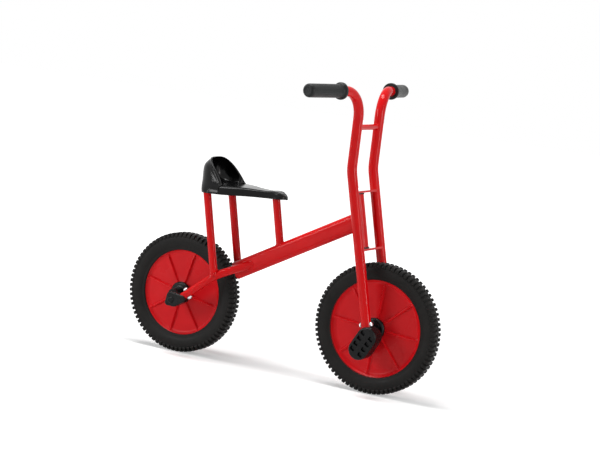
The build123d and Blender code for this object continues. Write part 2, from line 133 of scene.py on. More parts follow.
# %% Floor
FLOOR_Z = cad_box[0][2]
FLOOR_REACH = 9.0                               # metres from the middle to each side
FLOOR_GREY = 0.78
GLOW_NEAR, FADE_START, FADE_END = 0.34, 0.55, 2.2
floor_mesh = bpy.data.meshes.new("studio_floor")
floor_mesh.from_pydata([(x * FLOOR_REACH, y * FLOOR_REACH, FLOOR_Z)
                        for x, y in ((-1, -1), (1, -1), (1, 1), (-1, 1))], [], [(0, 1, 2, 3)])
studio_floor = bpy.data.objects.new("studio_floor", floor_mesh)
bpy.context.scene.collection.objects.link(studio_floor)
paper = bpy.data.materials.new("pale_paper")
paper.use_nodes = True
tree = paper.node_tree
tree.nodes.clear()
spot = add(tree, "TexCoord").outputs["Object"]
away = add(tree, "VectorMath", "DISTANCE", _0=spot, _1=(0.1, 0.0, FLOOR_Z))
fade = add(tree, "MapRange", Value=away.outputs["Value"], From_Min=FADE_START, From_Max=FADE_END,
           To_Min=GLOW_NEAR)
fade.interpolation_type = "SMOOTHSTEP"
lift = add(tree, "Math", "MULTIPLY", _0=seen_by_camera(tree), _1=fade.outputs["Result"])
matt = add(tree, "BsdfDiffuse", Color=(FLOOR_GREY, FLOOR_GREY, FLOOR_GREY, 1))
glow = add(tree, "Emission", Color=(1, 1, 1, 1), Strength=lift.outputs[0])
both = add(tree, "AddShader", _0=matt.outputs[0], _1=glow.outputs[0])
add(tree, "OutputMaterial", Surface=both.outputs[0])
floor_mesh.materials.append(paper)
print("the floor lies at", round(FLOOR_Z, 3), "m")

# %% Backdrop: the world is white to the eye and softer as a light
WORLD_LIGHT = 0.20
world = bpy.data.worlds.new("white_studio")
bpy.context.scene.world = world
world.use_nodes = True
tree = world.node_tree
tree.nodes.clear()
strength = add(tree, "MapRange", Value=seen_by_camera(tree), To_Min=WORLD_LIGHT)
sky = add(tree, "Background", Color=(1, 1, 1, 1), Strength=strength.outputs["Result"])
add(tree, "OutputWorld", Surface=sky.outputs[0])
print("the world lights the object at", WORLD_LIGHT)

# %% Soft lamps
def soft_lamp(name, place, target, size, power):
    """A rectangular lamp of the given width and height in metres, at a place and facing a target.

    Its local -Z axis is the line from place to target, which is how Blender aims a lamp.
    """
    data = bpy.data.lights.new(name, "AREA")
    data.shape = "RECTANGLE"
    data.size, data.size_y = size
    data.energy = power
    lamp = bpy.data.objects.new(name, data)
    back = np.subtract(place, target)
    back = back / np.linalg.norm(back)
    side = np.cross((0, 1, 0) if abs(back[2]) > 0.95 else (0, 0, 1), back)
    side = side / np.linalg.norm(side)
    pose = np.eye(4)
    pose[:3, 0], pose[:3, 1], pose[:3, 2], pose[:3, 3] = side, np.cross(back, side), back, place
    lamp.matrix_world = Matrix(pose.tolist())
    bpy.context.scene.collection.objects.link(lamp)
    print(name, power, "W")


soft_lamp("overhead_box", (-0.3, -0.2, 2.3), (0.1, 0.0, 0.0), (1.8, 0.7), 62)
soft_lamp("key_box", (-1.6, -2.5, 0.9), (0.1, 0.0, 0.0), (0.9, 1.2), 34)
soft_lamp("left_strip", (-2.0, -1.8, 0.5), (0.1, 0.0, 0.0), (0.05, 1.9), 6)
soft_lamp("right_box", (2.5, -0.2, 0.45), (0.1, 0.0, 0.0), (0.6, 1.8), 26)
bpy.context.scene.view_settings.view_transform = "Standard"

# %% [markdown]
# ## Finishes
#
# Two effects come back in every material, so each is a node group that is built once: a fine
# ripple, which serves for baked paint and for the grain of a mould, and soft uneven marks
# from handling and dust. One group gives out a height, the other a mask. The Principled
# shader itself stays in each material.

# %% A helper that makes node groups
def new_group(name, inputs, output):
    """An empty shader node group of number sockets: inputs with default values, and one output."""
    group = bpy.data.node_groups.new(name, "ShaderNodeTree")
    for label, value in inputs.items():
        socket = group.interface.new_socket(label, in_out="INPUT", socket_type="NodeSocketFloat")
        socket.default_value = value
    group.interface.new_socket(output, in_out="OUTPUT", socket_type="NodeSocketFloat")
    return group, group.nodes.new("NodeGroupInput").outputs, group.nodes.new("NodeGroupOutput").inputs


def use_group(tree, group, *values):
    """The output of a group whose inputs are set in order."""
    node = add(tree, "Group")
    node.node_tree = group
    for socket, value in zip(node.inputs, values):
        socket.default_value = value
    return node.outputs[0]


# %% Node group: fine ripple, for paint and for moulded skins
ripple, g_in, g_out = new_group("fine_ripple", {"Ripples per metre": 300.0, "Grains per metre": 2500.0,
                                                "Grain share": 0.3}, "Height")
place = add(ripple, "TexCoord").outputs["Object"]
wavy = add(ripple, "TexNoise", Vector=place, Scale=g_in["Ripples per metre"], Detail=1.0)
fine = add(ripple, "TexNoise", Vector=place, Scale=g_in["Grains per metre"], Detail=2.0)
mixed = add(ripple, "Mix", Factor=g_in["Grain share"], A=wavy.outputs[0], B=fine.outputs[0])
ripple.links.new(mixed.outputs[0], g_out["Height"])

# %% Node group: soft marks, a mask of uneven patches for handling, dust and faint fading
MARK_START, MARK_END = 0.3, 0.7                 # noise values at which a patch begins and is full
marks, g_in, g_out = new_group("soft_marks", {"Patches per metre": 14.0}, "Mask")
place = add(marks, "TexCoord").outputs["Object"]
cloud = add(marks, "TexNoise", Vector=place, Scale=g_in["Patches per metre"], Detail=6.0, Roughness=0.62)
spread = add(marks, "MapRange", Value=cloud.outputs[0], From_Min=MARK_START, From_Max=MARK_END)
spread.interpolation_type = "SMOOTHSTEP"
marks.links.new(spread.outputs["Result"], g_out["Mask"])
print("node groups:", [g.name for g in bpy.data.node_groups])

# %% A helper that makes one material from the groups
def finish(name, colour, second, rough, bump, grain, patches=14.0, metal=0.0, level=0.5):
    """A Principled material in two close colours.

    Soft marks choose between the colours and between the two values in rough. The fine ripple
    is its bump: grain holds ripples and grains per metre and the grains' share, and bump is
    the depth in metres. level scales the reflection of a surface that isn't metal.
    """
    material = bpy.data.materials.new(name)
    material.use_nodes = True
    tree = material.node_tree
    tree.nodes.clear()
    mask = use_group(tree, marks, patches)
    tint = add(tree, "Mix", _0=mask, _6=(*colour, 1), _7=(*second, 1))
    tint.data_type = "RGBA"
    gloss = add(tree, "MapRange", Value=mask, To_Min=rough[0], To_Max=rough[1])
    dents = add(tree, "Bump", Height=use_group(tree, ripple, *grain), Distance=bump)
    body = add(tree, "BsdfPrincipled", Base_Color=tint.outputs[2], Roughness=gloss.outputs["Result"],
               Normal=dents.outputs["Normal"], Metallic=metal, Specular_IOR_Level=level)
    add(tree, "OutputMaterial", Surface=body.outputs[0])
    return material


# %% The seven finishes of this bicycle
finishes = {
    "red_steel": finish("red_powder_paint", (0.62, 0.0025, 0.004), (0.55, 0.002, 0.0035),
                        (0.06, 0.10), 0.00003, (260, 1800, 0.15), level=0.13),
    "red_plastic": finish("red_moulded_plastic", (0.64, 0.007, 0.011), (0.58, 0.005, 0.009),
                          (0.26, 0.34), 0.00007, (420, 3200, 0.5), patches=10, level=0.14),
    "tyre_rubber": finish("tyre_rubber", (0.0085, 0.0080, 0.0076), (0.014, 0.0132, 0.0125),
                          (0.38, 0.54), 0.00020, (600, 3600, 0.6), patches=22, level=0.10),
    "grip_rubber": finish("grip_rubber", (0.010, 0.011, 0.011), (0.015, 0.016, 0.0165),
                          (0.34, 0.48), 0.00018, (700, 3800, 0.7), patches=30, level=0.15),
    "seat_plastic": finish("seat_plastic", (0.002, 0.002, 0.0022), (0.003, 0.003, 0.0033),
                           (0.13, 0.19), 0.00004, (120, 3000, 0.25), patches=18, level=0.18),
    "black_plastic": finish("black_plastic", (0.003, 0.003, 0.0032), (0.006, 0.006, 0.0064),
                            (0.2, 0.32), 0.00010, (500, 3400, 0.6), patches=26, level=0.15),
    "zinc_steel": finish("zinc_steel", (0.72, 0.73, 0.75), (0.58, 0.60, 0.63),
                         (0.20, 0.34), 0.00006, (900, 5000, 0.4), patches=60, metal=1.0),
}
print("finishes:", ", ".join(sorted(finishes)))

# %% Give every engineering solid its finish
ORIGIN = np.array([150.0, 0.0, 453.0])          # the seat's point in the workshop's millimetres
slot_words = (("tyre", "tyre_rubber"), ("rim", "red_plastic"), ("grip", "grip_rubber"),
              ("seat_shell", "seat_plastic"), ("cap", "black_plastic"), ("block", "black_plastic"),
              ("foot_rest", "black_plastic"), ("bush", "black_plastic"), ("bolt", "zinc_steel"),
              ("axle", "zinc_steel"))
for name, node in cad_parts.items():
    wanted = next((slot for word, slot in slot_words if word in name), "red_steel")
    node.data.materials.clear()
    node.data.materials.append(finishes[wanted])
print(len(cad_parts), "solids have a finish")

# %% [markdown]
# ## Mesh helper
#
# Every new piece below is one or more grids of points. numpy works out a whole grid at once,
# and one helper joins neighbouring points into four-sided faces. It merges points that lie
# in the same place, which closes seams and poles, and it turns the faces outwards by the
# sign of the enclosed volume.

# %% From grids of points to a closed mesh
def faces_of(grid, loop_rows=False, loop_columns=False):
    """Corner numbers of the faces between neighbours in an (..., n, m, 3) stack of grids."""
    n, m = grid.shape[-3:-1]
    first = np.arange(n * m).reshape(n, m)
    if loop_rows:
        first = np.concatenate([first, first[:1]])
    if loop_columns:
        first = np.concatenate([first, first[:, :1]], axis=1)
    quads = np.stack([first[:-1, :-1], first[1:, :-1], first[1:, 1:], first[:-1, 1:]], -1).reshape(-1, 4)
    copies = int(np.prod(grid.shape[:-3]))
    return (quads[None] + n * m * np.arange(copies)[:, None, None]).reshape(-1, 4)


def skin(name, grids, body, slot, replaces=(), smooth=40.0):
    """One piece from a list of (grid in millimetres, loop_rows, loop_columns), turned outwards.

    Six times the enclosed volume is the sum over triangles of a . (b x c); where it is negative
    the faces are turned round.
    """
    all_points, all_faces, count = [], [], 0
    for grid, loop_rows, loop_columns in grids:
        points = grid.reshape(-1, 3)
        faces = faces_of(grid, loop_rows, loop_columns)
        a, b, c, d = (points[faces[:, k]] for k in range(4))
        volume = np.sum(a * np.cross(b, c)) + np.sum(a * np.cross(c, d))
        if volume < 0:
            faces = faces[:, ::-1]
        all_points.append(points)
        all_faces.append(faces + count)
        count += len(points)
    points = np.concatenate(all_points)
    faces = np.concatenate(all_faces)
    kept, same = np.unique(np.round(points, 4), axis=0, return_inverse=True)
    faces = same.reshape(-1)[faces]
    fresh = faces != np.roll(faces, 1, axis=1)
    crossed = (faces[:, 0] == faces[:, 2]) | (faces[:, 1] == faces[:, 3])
    four = faces[fresh.all(1) & ~crossed]
    three = faces[(fresh.sum(1) == 3) & ~crossed]
    three = three[fresh[(fresh.sum(1) == 3) & ~crossed]].reshape(-1, 3)
    mesh = bpy.data.meshes.new(name)
    mesh.from_pydata(((kept - ORIGIN) / 1000.0).tolist(), [], four.tolist() + three.tolist())
    mesh.polygons.foreach_set("use_smooth", np.ones(len(mesh.polygons), dtype=bool))
    mesh.set_sharp_from_angle(angle=math.radians(smooth))
    mesh.materials.append(finishes[slot])
    piece = bpy.data.objects.new(name, mesh)
    bpy.context.scene.collection.objects.link(piece)
    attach(piece, body)
    if replaces:
        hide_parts(*replaces)
    print(name, len(mesh.polygons), "faces")


def closed(*grids):
    """Grids whose columns run round and close on themselves, in the form that skin takes."""
    return [(grid, False, True) for grid in grids]


def smooth_through(at, xs, ys):
    """A smooth curve through given points: cubics that share the mean slope at each point."""
    xs, ys = np.asarray(xs, float), np.asarray(ys, float)
    slope = np.gradient(ys, xs)
    k = np.clip(np.searchsorted(xs, at) - 1, 0, len(xs) - 2)
    h = xs[k + 1] - xs[k]
    t = np.clip((at - xs[k]) / h, 0, 1)
    return ((2 * t**3 - 3 * t**2 + 1) * ys[k] + (t**3 - 2 * t**2 + t) * h * slope[k]
            + (3 * t**2 - 2 * t**3) * ys[k + 1] + (t**3 - t**2) * h * slope[k + 1])


print("a grid of 3 by 4 points has", len(faces_of(np.zeros((3, 4, 3)))), "faces")

# %% [markdown]
# ## The seat
#
# The seat is one glossy moulding: a flat tongue that narrows to the nose, a skirt around it
# and a high rounded back like a bowl's wall with a rolled rim. A polar grid suits it. One
# parameter runs round the seat, the other starts under its middle, runs down inside the skirt,
# up the outside wall, over the rim, down the inside and across to the middle again. Heights
# and widths are read off smooth curves through a few measured points.

# %% The seat's measured curves, in millimetres
PAN_Z, UNDER_Z, WALL_FOOT_Z = 453.0, 444.5, 430.0
RIM_X, RIM_Y, RIM_RISE, RIM_LEAN, RIM_POWER = 105.0, 60.0, 63.0, 54.0, 3.3
NOSE_START, NOSE_REACH, WALL = 240.0, 22.0, 4.6
WALL_SHOULDER, TONGUE_SHOULDER = 6.0, 7.0       # the rim's roll starts this far below the edge
GROOVE_DEPTH, GROOVE_DROP, GROOVE_WIDTH = 0.7, 13.0, 3.4        # a soft line under the rim
HEEL = 24.0                                     # hollow fillet between the back and the pan
wall_z = [425, 441, 448, 454, 465, 478, 490, 498, 506, 511, 514, 517]
wall_reach = RIM_X - np.array([42, 37.5, 33, 29.5, 27, 26, 26.5, 29, 35, 41, 46, 53])
wall_half = [80.5, 78, 73.5, 69, 65.5, 63.5, 61, 57.5, 51.5, 45, 39, 28]
tongue_x = [105, 120, 135, 150, 170, 190, 210, 230, 250]
tongue_half = [80, 76, 67, 56, 42, 33, 28, 24.5, 23]
top_x = [20, 60, 105, 150, 195, 215, 228, 238, 248, 256, 262, 270]
top_z = [449, 450, 451.5, 453, 452.5, 453, 454.8, 454.6, 452, 448, 443, 436]
base_x = [20, 60, 262]
base_z = [426.5, 427.5, 437]
print("the seat rises from", min(base_z), "to", PAN_Z + RIM_RISE, "mm")


# %% The rear half: an arched rim on a rounded wall
def rim_and_wall():
    """The rim's crest, and the outside wall below it at any height.

    The crest is a tall rounded arch, |y/60|^3.3 + |rise/63|^3.3 = 1, which leans back by
    54 (rise/63)^1.25. The wall is a superellipse in plan, wider and squarer lower down, and
    keeps the plan angle at which its top meets the crest.
    """
    arch = np.pi * (0.5 - 0.5 * np.cos(np.linspace(0, np.pi, 121)))
    rise = RIM_RISE * np.clip(np.sin(arch), 0, 1) ** (2 / RIM_POWER)
    y = -RIM_Y * np.sign(np.cos(arch)) * np.abs(np.cos(arch)) ** (2 / RIM_POWER)
    y[len(y) // 2] = 0.0
    x = RIM_X - RIM_LEAN * (rise / RIM_RISE) ** 1.25
    edge = np.stack([x, y, PAN_Z + rise], -1)
    reach = smooth_through(edge[:, 2], wall_z, wall_reach)
    half = smooth_through(edge[:, 2], wall_z, wall_half)
    plan = np.arctan2(np.abs(y / half) ** 1.25, np.clip((RIM_X - x) / reach, 0, 1) ** 1.25)

    def at(z, inset=0.0):
        a = smooth_through(z, wall_z, wall_reach) - inset
        w = smooth_through(z, wall_z, wall_half) - inset
        power = np.interp(z, [438, 458], [0.57, 0.8])
        return np.stack([RIM_X - a * np.cos(plan) ** power,
                         np.sign(y) * w * np.sin(plan) ** power, z + 0 * y], -1)
    return edge, at


crest, wall = rim_and_wall()
rise = crest[:, 2] - PAN_Z
print("the rim's crest leans back by", round(float(RIM_X - crest[:, 0].min()), 1), "mm")

# %% The front half: the tongue and its nose
def tongue(inset, z):
    """The tongue's outline drawn in by an inset, from one foot of the rim round the nose to the other.

    The sides follow the measured half width. At the nose the half width times cos t and the
    reach times sin t make half an ellipse.
    """
    x = np.linspace(RIM_X, NOSE_START, 45)
    base = np.concatenate([x, np.full(31, NOSE_START), x[::-1]])
    swing = np.concatenate([0 * x, np.linspace(0, np.pi, 33)[1:-1], np.full(45, np.pi)])
    half = smooth_through(base, tongue_x, tongue_half) - inset
    side = base + (NOSE_REACH - inset) * np.sin(swing)
    return np.stack([side, half * np.cos(swing), z + 0 * side], -1)


print("the nose reaches", round(float(tongue(0, 0)[:, 0].max()), 1), "mm forward")

# %% All rows of the seat's grid
crest_inset = np.interp(tongue(0, 0)[:, 0], [105, 130, 160, 200, 240], [20, 18, 14, 9, 8])
rim_edge = tongue(crest_inset, 0.0)
rim_edge[:, 2] = smooth_through(rim_edge[:, 0], top_x, top_z) - 1.2
lean_in = crest - wall(crest[:, 2])
inward = -np.stack([crest[:, 0] - RIM_X, crest[:, 1], 0 * rise], -1)
inward /= np.linalg.norm(inward, axis=1)[:, None] + 1e-9


def outside_row(t):
    """Outer wall at a share t of the height to the shoulder under the rim."""
    foot = np.interp(wall(WALL_FOOT_Z)[:, 0], base_x, base_z)
    z = foot + t * (crest[:, 2] - WALL_SHOULDER - foot)
    groove = GROOVE_DEPTH * np.exp(-((crest[:, 2] - z - GROOVE_DROP) / GROOVE_WIDTH) ** 2)
    rear = wall(z, groove * np.clip(rise / 30, 0, 1))
    outline = tongue(0, 0)
    foot = np.interp(outline[:, 0], base_x, base_z)
    top = smooth_through(outline[:, 0], top_x, top_z) - TONGUE_SHOULDER
    z = foot + t * (top - foot)
    front = tongue(0.2 * (z - foot) * (1 + 1.2 * t), z)
    return np.concatenate([rear, front])


def rim_row(turn):
    """The roll from the shoulder up to the crest: a quarter of an ellipse, at the given angle on it."""
    shoulder = outside_row(1.0)
    top = np.concatenate([crest, rim_edge])
    s, c = math.sin(turn), math.cos(turn)
    flat = (top - shoulder) * [1, 1, 0]
    up = (top - shoulder) * [0, 0, 1]
    return shoulder + flat * (1 - c) + up * s


def inside_row(t):
    """Inner wall: it rolls in from the crest, falls to the pan and has a hollow fillet at its foot."""
    low = PAN_Z - 2.0
    z = low + (rise + 2.0) * (1 - t)
    fillet = np.minimum(HEEL, rise + 2.0)
    left = np.clip(fillet - (z - low), 0, None)
    heel = fillet - np.sqrt(np.clip(fillet**2 - left**2, 0, None))
    below = np.clip((crest[:, 2] - z) / 8.0, 0, 1)
    roll = 6.0 * np.sqrt(1 - (1 - below) ** 2) * np.clip(rise / 12, 0, 1)
    rear = wall(z) + lean_in * (1 - 0.3 * min(1.0, 3 * t)) * [1, 1, 0]
    rear += inward * (heel + roll)[:, None]
    rear[:, 2] = z
    front = tongue(crest_inset + 3.0 * t, 0.0)
    front[:, 2] = smooth_through(front[:, 0], top_x, top_z)
    return np.concatenate([rear, front])


def middle_row(z=None):
    """The middle line of the seat, run through twice, so that its two sides join there."""
    back = RIM_X - 30.0 * np.sin(np.linspace(0, np.pi, len(crest)))
    rear = np.stack([back, 0 * rise, 0 * rise], -1)
    front = tongue(0, 0)
    front[:, 0] = np.minimum(front[:, 0], NOSE_START)
    front[:, 1] = 0.0
    row = np.concatenate([rear, front])
    row[:, 2] = smooth_through(row[:, 0], top_x, top_z) if z is None else z
    return row


def between(a, b, shares, follow_top=True):
    """Rows between two rows, straight in plan; on the pan their height eases to the seat's top."""
    rows = []
    for share in shares:
        row = a + (b - a) * share
        if follow_top:
            drawn = smooth_through(row[:, 0], top_x, top_z)
            row[:, 2] = a[:, 2] + (drawn - a[:, 2]) * (1 - (1 - share) ** 3)
        rows.append(row)
    return rows


skirt_in = np.concatenate([wall(WALL_FOOT_Z + 0 * rise, WALL), tongue(WALL, 0)])
skirt_in[:, 2] = outside_row(0.0)[:, 2]
skirt_top = np.concatenate([wall(UNDER_Z + 0 * rise, WALL + 1), tongue(WALL + 8, UNDER_Z)])
rows = [middle_row(UNDER_Z), *between(middle_row(UNDER_Z), skirt_top, (0.5, 0.9), follow_top=False)]
rows += [skirt_top, skirt_in + [0, 0, 1], skirt_in]
rows += [outside_row(t) for t in (0.0, 0.02, 0.1, 0.22, 0.36, 0.5, 0.6, 0.68, 0.74, 0.79, 0.83, 0.87, 0.91,
                                  0.95, 0.98, 1.0)]
rows += [rim_row(a) for a in np.linspace(0.2, np.pi / 2, 7)]
rows += [inside_row(t) for t in (0.006, 0.02, 0.04, 0.07, 0.1, 0.14, 0.2, 0.28, 0.38, 0.5, 0.62, 0.72, 0.8,
                                 0.87, 0.93, 0.97, 1.0)]
rows += between(inside_row(1.0), middle_row(), (0.1, 0.25, 0.45, 0.7, 1.0))
skin("moulded_seat", closed(np.stack(rows)), "frame", "seat_plastic", ["seat_shell"])

# %% [markdown]
# ## Wheels: how a wheel's points are named
#
# Everything on a wheel turns about its axle, so it is drawn in radius, side offset and angle.
# The rear wheel is slightly smaller than the front one. The sizes are millimetres again, and
# each axle stands one tyre radius above the ground.

# %% Wheel coordinates
# lugs: a side; bead: inner edge of the rubber; first_rib: its angle in degrees
WHEELS = {"rear": {"x": 0.0, "tyre": 155.0, "rim": 113.0, "bead": 109.5, "lugs": 76, "first_rib": -13.0},
          "front": {"x": 550.0, "tyre": 163.0, "rim": 122.0, "bead": 120.5, "lugs": 80, "first_rib": -5.0}}
TURN = 2 * np.pi


def on_wheel(prefix, radius, offset, angle):
    """Points at x = cx + r cos a, y = offset, z = cz + r sin a about a wheel's axle."""
    wheel = WHEELS[prefix]
    radius, offset, angle = np.broadcast_arrays(radius, offset, angle)
    return np.stack([wheel["x"] + radius * np.cos(angle), offset, wheel["tyre"] + radius * np.sin(angle)], -1)


def round_angles(count):
    """Evenly spaced angles once round, without the last, which is the first again."""
    return np.linspace(0, TURN, count + 1)[:-1]


def rounded_line(corners, count):
    """Points spaced evenly along a smooth line through given (radius, offset) corners."""
    corners = np.asarray(corners, float)
    length = np.concatenate([[0], np.cumsum(np.hypot(*np.diff(corners, axis=0).T))])
    at = np.linspace(0, length[-1], count)
    return smooth_through(at, length, corners[:, 0]), smooth_through(at, length, corners[:, 1])


print("the axles are", WHEELS["front"]["x"] - WHEELS["rear"]["x"], "mm apart")

# %% [markdown]
# ## Tyres
#
# A real tyre of this kind is one rubber moulding: a round body, two rows of shoulder lugs and
# a low smooth band between them. Cutting grooves with booleans would be slow and leave
# long thin faces. Here the body is one profile turned round the axle, and one small lug is
# worked out for all angles at once, as a stack of grids.

# %% Tyre bodies and their lugs
def tyre_body(prefix):
    """The tyre's profile carried round the axle; two fine ridges mark the sidewall."""
    outer, rim, bead = (WHEELS[prefix][size] for size in ("tyre", "rim", "bead"))
    half = [(rim - 2, 4), (bead - 0.2, 12.6), (bead, 14.6), (bead + 1.5, 15.6), (rim + 3, 16.4),
            (rim + 9, 19.2), (rim + 16, 20.6), (outer - 17, 20.9), (outer - 11.5, 19.6),
            (outer - 7.6, 16.6), (outer - 5.6, 12.5), (outer - 4.8, 7.5), (outer - 4.2, 5.6),
            (outer - 1.6, 4.6), (outer - 1.0, 2.5), (outer - 0.9, 0)]
    r, y = rounded_line(half, 60)
    ridges = np.exp(-((r - rim - 5.5) / 0.8) ** 2) + np.exp(-((r - outer + 15) / 0.8) ** 2)
    y = y + 0.45 * ridges * (y > 10)
    r, y = np.concatenate([r, r[-2::-1]]), np.concatenate([y, -y[-2::-1]])
    return on_wheel(prefix, r[:, None], y[:, None], round_angles(192)[None, :])


def lugs(prefix, top, foot, half_long, shift, side):
    """A ring of lugs: a top line of (radius, offset) stands on a foot line, once per step of angle.

    Across a lug the section is a low trapezium with softened top edges. Each end is closed
    by a row that is drawn together into a point.
    """
    count = WHEELS[prefix]["lugs"]
    share = np.array([0.0, 0.78, 1.0, 1.0, 0.78, 0.0])
    along = np.array([-1.0, -0.93, -0.78, 0.78, 0.93, 1.0]) * half_long
    r = foot[:, 0, None] + (top[:, 0] - foot[:, 0])[:, None] * share
    y = foot[:, 1, None] + (top[:, 1] - foot[:, 1])[:, None] * share
    r, y = (np.concatenate([np.full_like(rows[:1], rows[0].mean()), rows,
                            np.full_like(rows[:1], rows[-1].mean())]) for rows in (r, y))
    swing = np.broadcast_to(along, r.shape).copy()
    swing[0], swing[-1] = 0, 0
    steps = (np.arange(count) + shift) * TURN / count
    return on_wheel(prefix, r[None], side * y[None], steps[:, None, None] + swing[None] / r[None])


LUG_HALF = 4.0                                  # half of a lug's length round the tyre
# radius from the tyre's outermost point, and side offset
lug_top = np.array([(-0.5, 8.0), (-0.2, 12.5), (-0.9, 16.4), (-3.6, 19.8), (-10.5, 21.8)])
lug_foot = np.array([(-5.6, 7.6), (-6.6, 11.6), (-8.2, 14.6), (-10.4, 17.2), (-14.6, 19.6)])
for prefix, wheel in WHEELS.items():
    top, foot = lug_top + [wheel["tyre"], 0], lug_foot + [wheel["tyre"], 0]
    shells = [(tyre_body(prefix), True, True)]
    for shift, side in ((0.0, 1), (0.5, -1)):
        shells += closed(lugs(prefix, top, foot, LUG_HALF, shift, side))
    skin(prefix + "_tyre_with_lugs", shells, prefix + "_wheel", "tyre_rubber", [prefix + "_tyre"], smooth=50)

# %% [markdown]
# ## Wheel discs
#
# Each wheel is a red moulded disc with eight thin ribs a side and an edge that curves out to
# the tyre. The ribs keep one thickness from hub to edge, so the grid's columns near a rib
# stay at fixed distances from its middle line, and only the columns between two ribs spread
# with the radius. That gives crisp ribs with few faces.

# %% Disc surface with ribs
RIBS = 8
PITCH = TURN / RIBS
rib_distance = np.array([0.0, 1.1, 1.7, 2.4, 3.4])
rib_height = np.array([1.0, 1.0, 0.82, 0.25, 0.0])


def disc(prefix):
    """Both faces of a wheel's disc as one closed grid.

    Face height over the radius is a smooth line from the hub to the lip. A rib adds its height
    times a factor that depends only on the distance d = r sin(angle) from the rib's line.
    """
    rim = WHEELS[prefix]["rim"]
    hub_radius, hub_face = [8, 12, 18.6, 19.0], [21.5, 21.9, 21.9, 21.0]
    profile = [(20, 12.2), (30, 10.2), (60, 8.0), (rim - 20, 6.2), (rim - 13, 6.0), (rim - 9, 7.0),
               (rim - 5.5, 9.4), (rim - 3, 12.3), (rim - 1.6, 13.6), (rim - 0.2, 13.4), (rim, 11.0)]
    web = np.concatenate([np.linspace(20, 30, 5), np.linspace(33, rim - 20, 16),
                          np.linspace(rim - 18, rim - 4, 13),
                          [rim - 3, rim - 2.2, rim - 1.5, rim - 0.8, rim - 0.2, rim]])
    face = np.concatenate([hub_face, smooth_through(web, *np.array(profile).T)])
    radius = np.concatenate([hub_radius, web])
    top = np.interp(radius, [19.5, 30, 60, rim - 20, rim - 9, rim - 5], [0, 5.2, 7.2, 6.8, 3.2, 0])
    near = np.arcsin(np.clip(rib_distance / radius[:, None], 0, 0.42))
    open_part = near[:, -1:] + (PITCH / 2 - near[:, -1:]) * np.linspace(0, 1, 8)[None, 1:]
    half = np.concatenate([near, open_part], 1)
    lift = np.concatenate([rib_height, np.zeros(7)])
    sector = np.concatenate([half, PITCH - half[:, -2:0:-1]], 1)
    lifts = np.concatenate([lift, lift[-2:0:-1]])
    angle = np.concatenate([sector + k * PITCH for k in range(RIBS)], 1)
    angle = angle + math.radians(WHEELS[prefix]["first_rib"])
    lifts = np.tile(lifts, RIBS)
    y = face[:, None] + top[:, None] * lifts[None, :]
    front = on_wheel(prefix, radius[:, None], y, angle)
    back = on_wheel(prefix, radius[::-1, None], -y[::-1], angle[::-1])
    return np.concatenate([front, back, front[:1]])


for prefix in WHEELS:
    skin(prefix + "_ribbed_disc", closed(disc(prefix)), prefix + "_wheel", "red_plastic",
         [prefix + "_rim"], smooth=38)

# %% [markdown]
# ## Hub caps
#
# A plain turned plastic cover hides each hub. Its whole form lies in one closed profile with a
# soft shoulder and a shallow ring, so the profile is carried once round the axle. The left cap
# has the same profile on the other side.

# %% Hub caps
cap_line = [(7.2, 22.2), (19.2, 22.2), (19.3, 17.2), (27.6, 16.6), (28.0, 18.0), (27.6, 21.0), (25.6, 23.8),
            (22.5, 25.2), (20.2, 24.9), (18.6, 24.9), (16.8, 25.8), (12.5, 26.0), (8.2, 26.0), (7.2, 25.2)]
r, y = np.array(cap_line + cap_line[:1]).T
for prefix in WHEELS:
    for side, name in ((-1, "right"), (1, "left")):
        grid = on_wheel(prefix, r[:, None], side * y[:, None], round_angles(72)[None, :])
        skin(f"{prefix}_hub_cap_{name}_turned", closed(grid), prefix + "_wheel", "black_plastic",
             [f"{prefix}_hub_cap_{name}"], smooth=35)

# %% [markdown]
# ## Tubes
#
# The steel tubes are drawn anew so that their gloss runs without facets. One helper rounds
# the corners of a line with arcs and carries a circle along it. The line stays in one plane at
# each bend, so the circle is turned from one direction to the next by the smallest angle and
# never twists.

# %% Lines with rounded corners, and tubes along them
def rounded_path(points, radii, steps=14):
    """A polyline whose inner corners are arcs of given radii, as points and unit directions.

    At a corner the arc starts r tan(turn/2) before it and ends as far behind it.
    """
    points = [np.asarray(p, float) for p in points]
    places, ways = [points[0]], [points[1] - points[0]]
    for k, r in enumerate(radii, 1):
        a, b = points[k] - points[k - 1], points[k + 1] - points[k]
        a, b = a / np.linalg.norm(a), b / np.linalg.norm(b)
        bend = math.acos(float(np.clip(a @ b, -1, 1)))
        side = b - a * (a @ b)
        side = side / np.linalg.norm(side)
        start = points[k] - a * r * math.tan(bend / 2)
        for turn_by in np.linspace(0, bend, steps):
            places.append(start + a * r * math.sin(turn_by) + side * r * (1 - math.cos(turn_by)))
            ways.append(a * math.cos(turn_by) + side * math.sin(turn_by))
    places.append(points[-1])
    ways.append(points[-1] - points[-2])
    ways = np.array(ways)
    return np.array(places), ways / np.linalg.norm(ways, axis=1)[:, None]


def turned(places, ways, radii, columns=40):
    """Circles of given radii about a line's points, square to its direction, as one grid.

    Each next circle's first spoke is the last one less its part along the new direction.
    """
    spoke = np.cross(ways[0], (0.0, 1.0, 0.0) if abs(ways[0][1]) < 0.9 else (1.0, 0.0, 0.0))
    angle = round_angles(columns)[:, None]
    rows = []
    for place, way, radius in zip(places, ways, np.broadcast_to(radii, (len(places),))):
        spoke = spoke - way * (spoke @ way)
        spoke = spoke / np.linalg.norm(spoke)
        rows.append(place + radius * (np.cos(angle) * spoke + np.sin(angle) * np.cross(way, spoke)))
    return np.stack(rows)


def capped(grid):
    """The grid with its first and last row drawn together to their middles, which closes it."""
    ends = [np.broadcast_to(row.mean(0), row.shape)[None] for row in (grid[0], grid[-1])]
    return np.concatenate([ends[0], grid, ends[1]])


def mirrored(grid):
    """The grid on the bicycle's other side."""
    return grid * [1, -1, 1]


